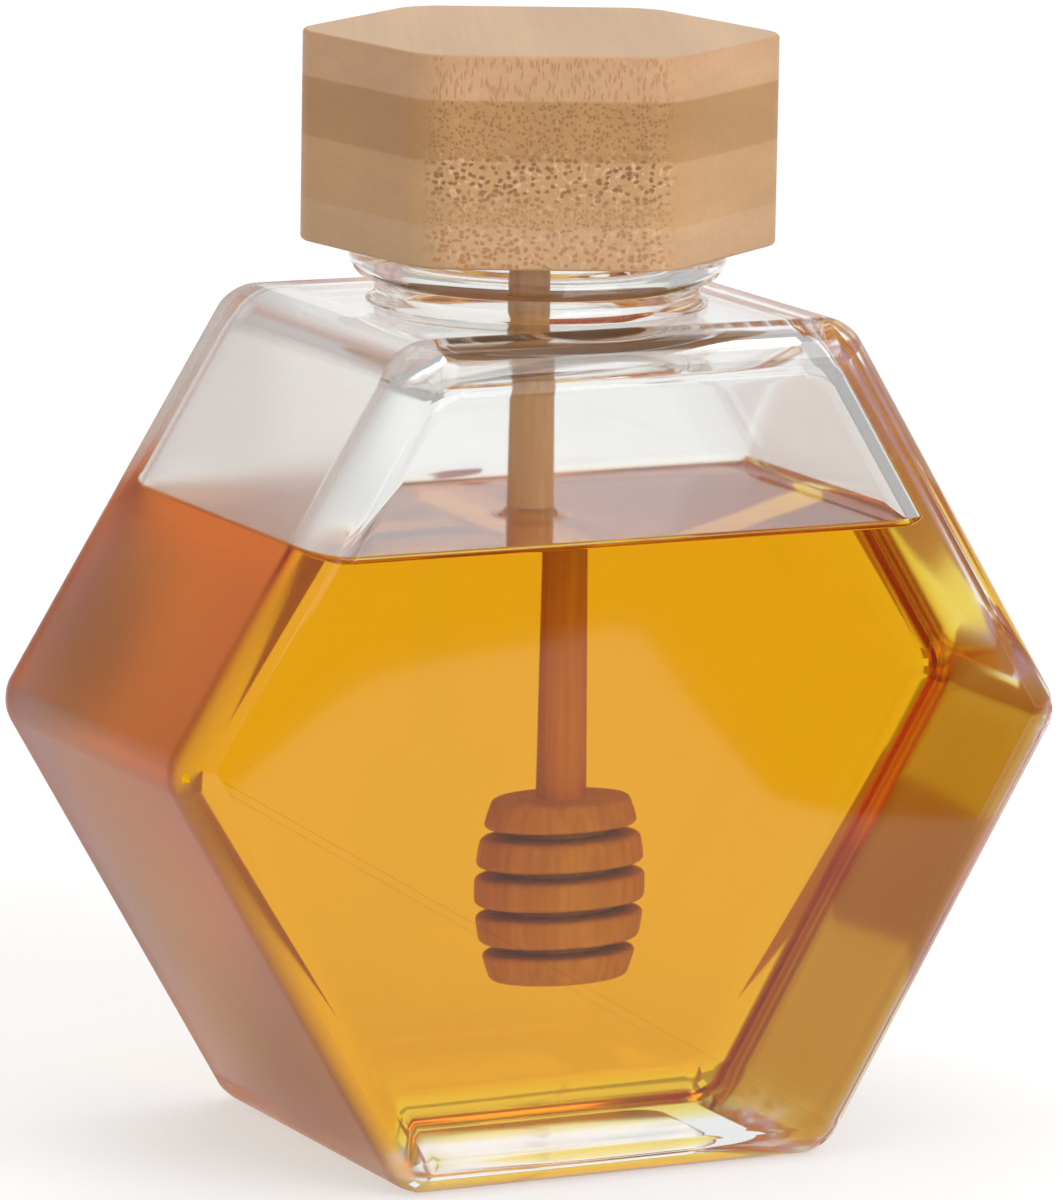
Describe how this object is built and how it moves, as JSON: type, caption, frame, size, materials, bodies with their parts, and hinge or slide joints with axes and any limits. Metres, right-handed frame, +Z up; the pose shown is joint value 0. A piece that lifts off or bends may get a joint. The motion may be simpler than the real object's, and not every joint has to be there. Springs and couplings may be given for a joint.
{
  "type": "honey pot",
  "caption": "Clear glass jar with a flat six-sided body on edge, filled with golden honey, closed by a six-sided bamboo lid with a turned honey dipper.",
  "frame": {"origin": "middle of the base, on the surface that the jar stands on", "axes": "+Z up along the neck, +X across the jar's wide six-sided face, -Y out of the front face"},
  "size_m": [0.1132, 0.0554, 0.1304],
  "materials": {
    "clear_glass": "clear, polished",
    "honey_amber": "translucent golden honey, wet gloss",
    "turned_wood": "plain turned wood, satin",
    "bamboo": "laminated bamboo, bare and fine-grained"
  },
  "bodies": {
    "root": {"jar": "clear_glass", "honey": "honey_amber", "dipper": "turned_wood", "lid": "bamboo"}
  },
  "joints": []
}
